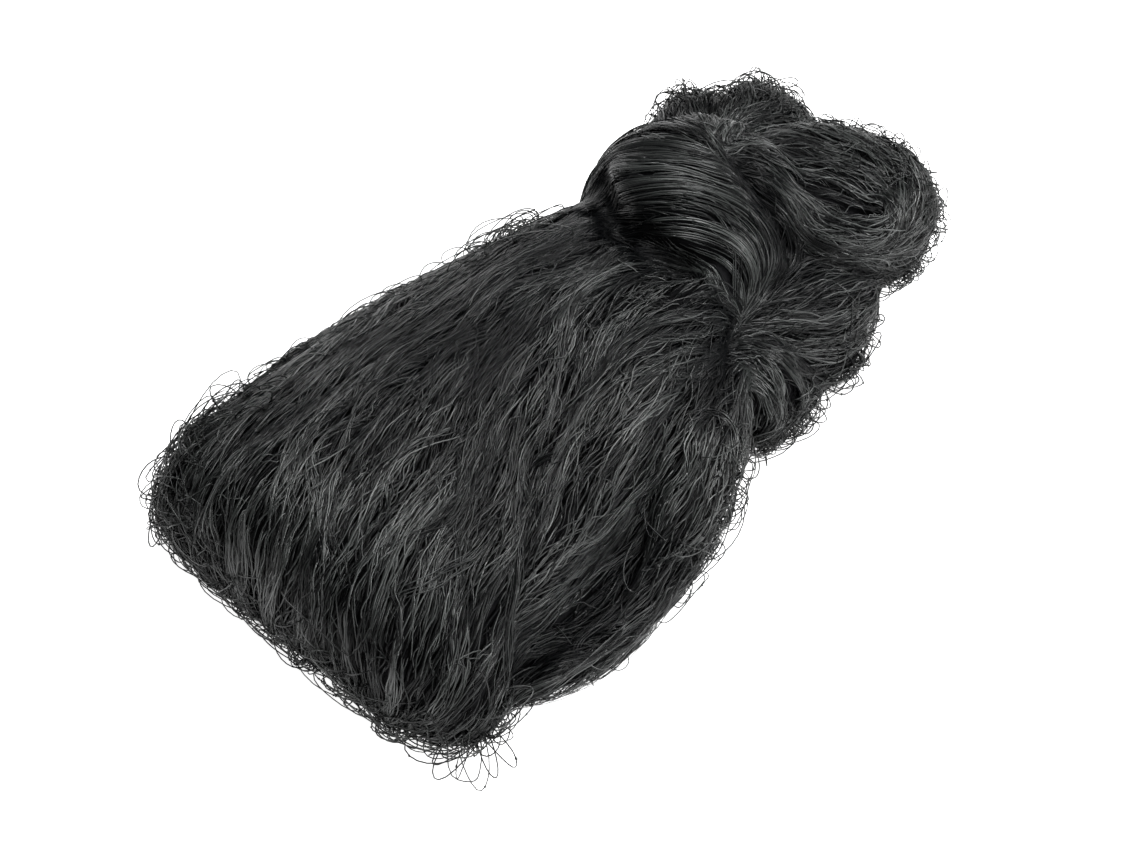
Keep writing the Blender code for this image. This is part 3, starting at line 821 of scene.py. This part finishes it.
def add_knots(name, places, material, rng):
    """Small lumpy knots where mesh bars meet, in one mesh."""
    ball = bmesh.new()
    bmesh.ops.create_icosphere(ball, subdivisions=1, radius=1.0)
    shape = np.array([vert.co for vert in ball.verts])
    faces = np.array([[vert.index for vert in face.verts] for face in ball.faces])
    ball.free()
    total = len(places)
    size = KNOT_SIZE * rng.uniform(*KNOT_SIZE_RANGE, (total, 1, 3))
    lumps = 1 + KNOT_LUMPS * rng.normal(size=(total, len(shape), 1))
    spin = np.linalg.qr(rng.normal(size=(total, 3, 3)))[0]
    spin *= np.sign(np.linalg.det(spin))[:, None, None]
    points = places[:, None] + (shape * lumps * size) @ spin
    points[..., 2] = np.maximum(points[..., 2], 0)
    numbers = faces[None] + np.arange(total)[:, None, None] * len(shape)
    mesh = mesh_from(name, points.reshape(-1, 3), np.zeros((0, 4), int), numbers.reshape(-1, 3))
    set_tones(mesh, np.full(len(mesh.vertices), KNOT_TONE))
    add_piece(name, mesh, material)


def core_mesh(solid):
    """An even, softened copy of the solid's mesh."""
    copy = bpy.data.objects.new("core_copy", solid.data.copy())
    bpy.context.scene.collection.objects.link(copy)
    even = copy.modifiers.new("even", "REMESH")
    even.mode = "VOXEL"
    even.voxel_size = CORE_GRID
    soft = copy.modifiers.new("soft", "SMOOTH")
    soft.factor = CORE_SMOOTH_SHARE
    soft.iterations = CORE_SMOOTH_ROUNDS
    bpy.context.view_layer.update()
    mesh = bpy.data.meshes.new_from_object(copy.evaluated_get(bpy.context.evaluated_depsgraph_get()))
    bpy.data.objects.remove(copy)
    return mesh


def add_core(mesh, skin, material):
    """The bundle below the strands, sunk a little."""
    points = skin.points - skin.normals * CORE_INSET
    points[:, 2] = np.maximum(points[:, 2], 0)
    mesh.vertices.foreach_set("co", points.astype(np.float32).ravel())
    mesh.update()
    mesh.shade_smooth()
    add_piece("net_core", mesh, material)


def new_material(name):
    """A new node material, with its nodes, its links and its main shader."""
    material = bpy.data.materials.new(name)
    material.use_nodes = True
    nodes = material.node_tree.nodes
    return material, nodes, material.node_tree.links, nodes["Principled BSDF"]


def noise(nodes, links, scale, detail):
    """A value that changes over the object, about scale times a metre."""
    place = nodes.new("ShaderNodeTexCoord")
    node = nodes.new("ShaderNodeTexNoise")
    node.inputs["Scale"].default_value = scale
    node.inputs["Detail"].default_value = detail
    links.new(place.outputs["Object"], node.inputs["Vector"])
    return node.outputs["Fac"]


def colour_by(nodes, links, value, start, dark, light, socket):
    """Colours the socket from dark, up to where the value is start, to light, where it is 1."""
    node = nodes.new("ShaderNodeValToRGB")
    node.color_ramp.elements[0].position = start
    node.color_ramp.elements[0].color = dark
    node.color_ramp.elements[1].color = light
    links.new(value, node.inputs["Fac"])
    links.new(node.outputs["Color"], socket)


def spread_by(nodes, links, value, limits, socket):
    """Sets the socket between the limits, by a value from 0 to 1."""
    node = nodes.new("ShaderNodeMapRange")
    node.inputs["To Min"].default_value = limits[0]
    node.inputs["To Max"].default_value = limits[1]
    links.new(value, node.inputs["Value"])
    links.new(node.outputs["Result"], socket)


def bump_by(nodes, links, value, strength, distance, shader):
    """Raises fine bumps on the shader's surface where the value is high."""
    node = nodes.new("ShaderNodeBump")
    node.inputs["Strength"].default_value = strength
    node.inputs["Distance"].default_value = distance
    links.new(value, node.inputs["Height"])
    links.new(node.outputs["Normal"], shader.inputs["Normal"])


TWINE_DARK = (0.002, 0.0023, 0.0026, 1)
TWINE_LIGHT = (0.030, 0.034, 0.032, 1)
TWINE_DARK_BELOW = 0.2  # strands of a lower tone than this are all equally dark
TWINE_SHEEN = (0.10, 0.8)  # of the darkest and the palest strands
TWINE_ROUGHNESS = (0.26, 0.46)
PATCHES_A_METRE, PATCH_DETAIL = 60, 3
PLIES_A_METRE, PLY_DETAIL = 1400, 2
PLY_STRENGTH, PLY_HEIGHT = 0.25, 0.2 * MM


def twine_material():
    """Satin black polyethylene twine, some strands paler than others by random tone and by painted shade and
    painted light, with fine plies and dull patches.
    """
    material, nodes, links, shader = new_material("twine")
    strand = nodes.new("ShaderNodeAttribute")
    strand.attribute_name = "tone"
    tone = strand.outputs["Fac"]
    colour_by(nodes, links, tone, TWINE_DARK_BELOW, TWINE_DARK, TWINE_LIGHT, shader.inputs["Base Color"])
    spread_by(nodes, links, tone, TWINE_SHEEN, shader.inputs["Specular IOR Level"])
    patches = noise(nodes, links, PATCHES_A_METRE, PATCH_DETAIL)
    spread_by(nodes, links, patches, TWINE_ROUGHNESS, shader.inputs["Roughness"])
    plies = noise(nodes, links, PLIES_A_METRE, PLY_DETAIL)
    bump_by(nodes, links, plies, PLY_STRENGTH, PLY_HEIGHT, shader)
    return material


# The core's colours are painted shade: the packed twine is darker than the strands, standing for the shade
# between and under them.
CORE_DARK = (0.001, 0.001, 0.0012, 1)
CORE_LIGHT = (0.004, 0.004, 0.005, 1)
CORE_ROUGHNESS = 0.8
CORE_SHEEN = 0.1
FIBRES_A_METRE, FIBRE_DETAIL = 420, 4
FIBRE_STRENGTH, FIBRE_HEIGHT = 0.8, 1 * MM


def core_material():
    """The same twine, packed, with painted shade: coloured darker than the strands, as if in the shade of
    the strands above it.
    """
    material, nodes, links, shader = new_material("packed_twine_in_painted_shade")
    fibres = noise(nodes, links, FIBRES_A_METRE, FIBRE_DETAIL)
    colour_by(nodes, links, fibres, 0, CORE_DARK, CORE_LIGHT, shader.inputs["Base Color"])
    shader.inputs["Roughness"].default_value = CORE_ROUGHNESS
    shader.inputs["Specular IOR Level"].default_value = CORE_SHEEN
    bump_by(nodes, links, fibres, FIBRE_STRENGTH, FIBRE_HEIGHT, shader)
    return material


FLOOR_SIZE = 6.0
FLOOR_COLOUR = (0.85, 0.85, 0.85, 1)
FLOOR_ROUGHNESS = 0.9
FLOOR_GLOW_COLOUR = (1, 1, 1, 1)
FLOOR_GLOW = 0.97


def add_floor():
    shape = bmesh.new()
    bmesh.ops.create_grid(shape, x_segments=1, y_segments=1, size=FLOOR_SIZE)
    mesh = bpy.data.meshes.new("floor")
    shape.to_mesh(mesh)
    shape.free()
    floor = bpy.data.objects.new("floor", mesh)
    bpy.context.scene.collection.objects.link(floor)
    material, _, _, shader = new_material("white_floor")
    shader.inputs["Base Color"].default_value = FLOOR_COLOUR
    shader.inputs["Roughness"].default_value = FLOOR_ROUGHNESS
    shader.inputs["Emission Color"].default_value = FLOOR_GLOW_COLOUR
    shader.inputs["Emission Strength"].default_value = FLOOR_GLOW
    mesh.materials.append(material)


AreaLight = namedtuple("AreaLight", "name place size power")
AREA_LIGHTS = (
    AreaLight("top_light", (0.62, 0.55, 1.4), 0.6, 28),
    AreaLight("side_light", (1.2, -0.9, 1.1), 0.5, 26),
    AreaLight("front_light", (-0.1, -1.3, 1.0), 0.5, 15),
)
WORLD_COLOUR = (1.0, 1.0, 1.0, 1)
WORLD_STRENGTH = 0.14


def add_light():
    scene = bpy.context.scene
    scene.world = bpy.data.worlds.new("studio")
    scene.world.use_nodes = True
    background = scene.world.node_tree.nodes["Background"]
    background.inputs["Color"].default_value = WORLD_COLOUR
    background.inputs["Strength"].default_value = WORLD_STRENGTH
    for lamp in AREA_LIGHTS:
        data = bpy.data.lights.new(lamp.name, "AREA")
        data.size = lamp.size
        data.energy = lamp.power
        light = bpy.data.objects.new(lamp.name, data)
        light.location = lamp.place
        light.rotation_euler = (Vector(lamp.place) - VIEW_TARGET).to_track_quat("Z", "Y").to_euler()
        scene.collection.objects.link(light)
    scene.view_settings.view_transform = "Standard"


# The top layer is three pieces, of the strands that start between these places along x.
SHARES = (
    ("net_top_strands_fold", -math.inf, -0.06),
    ("net_top_strands_middle", -0.06, 0.08),
    ("net_top_strands_knot", 0.08, math.inf),
)


def main():
    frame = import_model()
    add_camera()
    rng = np.random.default_rng(SEED)
    mesh = core_mesh(frame["nodes"]["net_hank"])
    skin = sink_valleys_and_paint_shading(mesh, Skin(mesh))
    comb(skin)
    twine = twine_material()
    add_core(mesh, skin, core_material())
    add_strands("net_deep_strands", lay_locks(skin, DEEP_LAYER, rng, DEEP_SEED), RIBBON, twine)
    laid = lay_locks(skin, TOP_LAYER, rng, TOP_SEED)
    for name, low, high in SHARES:
        inside = (laid.places[:, 0, 0] >= low) & (laid.places[:, 0, 0] < high)
        add_strands(name, Strands(*(values[inside] for values in laid)), RIBBON, twine)
    add_strands("net_loose_strands", lay_locks(skin, LOOSE_LAYER, rng, LOOSE_SEED), TUBE, twine)
    add_strands("net_curls", lay_locks(skin, CURL_LAYER, rng, CURL_SEED), TUBE, twine)
    add_strands("net_wisps", lay_wisps(skin, rng), TUBE, twine)
    loops, knots = grow_loops(skin, rng)
    add_strands("net_rim_loops", loops, TUBE, twine)
    add_knots("net_knots", knots, twine, rng)
    add_floor()
    add_light()


main()
